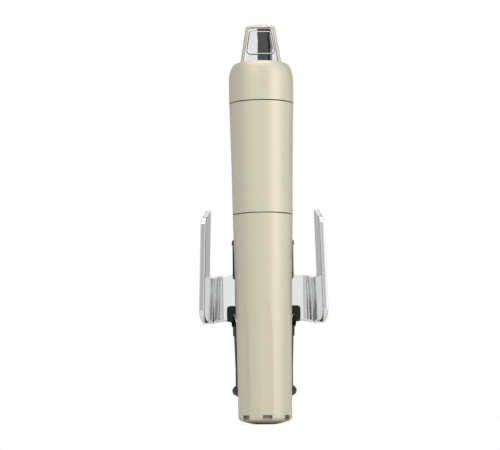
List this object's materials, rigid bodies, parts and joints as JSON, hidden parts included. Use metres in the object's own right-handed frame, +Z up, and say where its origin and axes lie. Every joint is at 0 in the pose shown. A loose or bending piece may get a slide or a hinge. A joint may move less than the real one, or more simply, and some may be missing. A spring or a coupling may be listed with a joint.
{
  "type": "wine preservation dispenser",
  "caption": "Slim handheld needle dispenser for wine, with a gas capsule in its handle, a sliding spring clamp for the bottle neck, a trigger and a pouring spout.",
  "frame": {"origin": "middle of the flat foot of the capsule cup, on the axis of the handle", "axes": "+Z up the handle to the hood, +Y from the handle to the needle and the bottle, +X to the right of someone who looks at the back of the handle"},
  "size_m": [0.0772, 0.0718, 0.2365],
  "materials": {
    "champagne_coat": "satin champagne lacquer over aluminium",
    "black_nylon": "fine matte moulded nylon",
    "black_anodised": "satin black anodised",
    "chrome_plate": "bright polished chrome plate",
    "needle_steel": "ground stainless tube",
    "bare_aluminium": "turned and bead-blasted aluminium",
    "brass": "turned brass",
    "capsule_steel": "zinc-plated drawn steel",
    "screw_steel": "plain stainless steel",
    "spring_steel": "drawn spring wire",
    "white_acetal": "natural white acetal",
    "grey_liner": "dark grey moulded liner",
    "black_rubber": "matte black silicone rubber"
  },
  "bodies": {
    "root": {"head_cover": "champagne_coat", "handle_sleeve": "champagne_coat", "head_underplate": "black_nylon", "underplate_screws": "screw_steel", "manifold": "bare_aluminium", "manifold_screws": "screw_steel", "spout_tube": "chrome_plate", "spout_seal": "black_rubber", "needle_hub": "bare_aluminium", "needle": "needle_steel", "needle_washer": "white_acetal", "regulator_body": "bare_aluminium", "bonnet": "bare_aluminium", "bonnet_seal": "black_rubber", "outlet_seal": "black_rubber", "capsule_seal": "black_rubber", "piercing_lance": "screw_steel", "inlet_filter": "brass", "spigot_seal": "black_rubber", "rail": "black_anodised", "rail_screws": "screw_steel", "rail_end_stop": "screw_steel", "trigger_pin": "screw_steel", "spool_gland": "screw_steel", "regulator_spring": "spring_steel", "spool_spring": "spring_steel", "piston_seat": "white_acetal"},
    "piston": {"regulator_piston": "brass", "piston_seals": "black_rubber"},
    "trigger": {"trigger_lever": "chrome_plate", "trigger_pad": "chrome_plate"},
    "spool": {"valve_spool": "screw_steel", "spool_seals": "black_rubber"},
    "capsule": {"gas_capsule": "capsule_steel"},
    "cup": {"capsule_cup": "champagne_coat", "cup_liner": "grey_liner", "capsule_pad": "black_rubber"},
    "carriage": {"carriage_frame": "black_nylon", "carriage_cap": "black_nylon", "cap_screws": "screw_steel", "guide_bush": "white_acetal", "foot_pad": "black_rubber", "hinge_pins": "screw_steel", "brake_pad": "white_acetal", "left_arm_spring": "spring_steel", "right_arm_spring": "spring_steel"},
    "left_arm": {"left_lever": "chrome_plate", "left_jaw": "black_nylon", "left_grip_pad": "black_rubber", "left_jaw_screws": "screw_steel"},
    "right_arm": {"right_lever": "chrome_plate", "right_jaw": "black_nylon", "right_grip_pad": "black_rubber", "right_jaw_screws": "screw_steel"}
  },
  "joints": [
    {"name": "trigger_press", "type": "hinge", "parent": "root", "child": "trigger", "pos_m": [0, -0.0074, 0.2015], "axis": [-1, 0, 0], "range_deg": [0, 8], "stiffness_Nm_per_rad": 0.08, "springref_deg": -8.59},
    {"name": "valve_slide", "type": "slide", "parent": "root", "child": "spool", "axis": [0, 1, 0], "range_m": [0, 0.0017], "deforming": ["spool_spring"]},
    {"name": "regulator_slide", "type": "slide", "parent": "root", "child": "piston", "axis": [0, 0, -1], "range_m": [0, 0.0011], "stiffness_N_per_m": 6000, "springref_m": -0.0005, "deforming": ["regulator_spring"]},
    {"name": "cup_unscrew", "type": "slide", "parent": "root", "child": "capsule", "axis": [0, 0, -1], "range_m": [0, 0.012]},
    {"name": "cup_turn", "type": "hinge", "parent": "capsule", "child": "cup", "pos_m": [0, 0, 0], "axis": [0, 0, -1], "range_deg": [0, 1440]},
    {"name": "carriage_slide", "type": "slide", "parent": "root", "child": "carriage", "axis": [0, 0, 1], "range_m": [0, 0.07]},
    {"name": "left_clamp", "type": "hinge", "parent": "carriage", "child": "left_arm", "pos_m": [-0.0194, 0.0397, 0.067], "axis": [0, 1, 0], "range_deg": [0, 10], "stiffness_Nm_per_rad": 0.6, "springref_deg": -17.19},
    {"name": "right_clamp", "type": "hinge", "parent": "carriage", "child": "right_arm", "pos_m": [0.0194, 0.0397, 0.067], "axis": [0, -1, 0], "range_deg": [0, 10], "stiffness_Nm_per_rad": 0.6, "springref_deg": -17.19}
  ],
  "couplings": [
    {"joint": "valve_slide", "follows": "trigger_press", "m_per_rad": 0.0115},
    {"joint": "cup_turn", "follows": "cup_unscrew", "rad_per_m": 2094.4}
  ]
}
